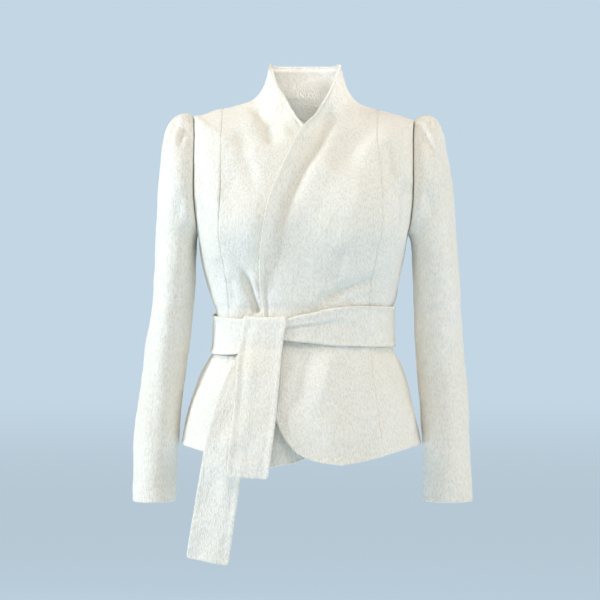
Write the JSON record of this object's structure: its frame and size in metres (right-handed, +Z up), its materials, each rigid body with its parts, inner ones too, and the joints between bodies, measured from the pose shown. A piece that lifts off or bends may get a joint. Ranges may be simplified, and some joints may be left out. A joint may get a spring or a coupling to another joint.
{
  "type": "blazer",
  "caption": "Wrap blazer of felted wool with a funnel collar, princess seams, puffed sleeve heads, a short flared skirt and a wide belt tied at the waist.",
  "frame": {"origin": "middle of the neck base, level with the shoulder seams, where the wearer's shoulders hold it up", "axes": "+Z up along the wearer's back; -Y forwards, towards the viewer; +X to the wearer's left"},
  "size_m": [0.5577, 0.3246, 0.8129],
  "materials": {
    "back_wool": "felted wool with a fine crepe grain",
    "belt_band_wool": "felted wool with a fine crepe grain",
    "belt_lower_end_wool": "felted wool with a fine crepe grain",
    "belt_upper_end_wool": "felted wool with a fine crepe grain",
    "left_front_wool": "felted wool with a fine crepe grain",
    "left_side_back_wool": "felted wool with a fine crepe grain",
    "left_side_front_wool": "felted wool with a fine crepe grain",
    "left_sleeve_wool": "felted wool with a fine crepe grain",
    "right_front_wool": "felted wool with a fine crepe grain",
    "right_side_back_wool": "felted wool with a fine crepe grain",
    "right_side_front_wool": "felted wool with a fine crepe grain",
    "right_sleeve_wool": "felted wool with a fine crepe grain"
  },
  "bodies": {
    "root": {"back": "back_wool", "belt_band": "belt_band_wool", "belt_lower_end": "belt_lower_end_wool", "belt_upper_end": "belt_upper_end_wool", "left_front": "left_front_wool", "left_side_back": "left_side_back_wool", "left_side_front": "left_side_front_wool", "left_sleeve": "left_sleeve_wool", "right_front": "right_front_wool", "right_side_back": "right_side_back_wool", "right_side_front": "right_side_front_wool", "right_sleeve": "right_sleeve_wool"}
  },
  "joints": []
}
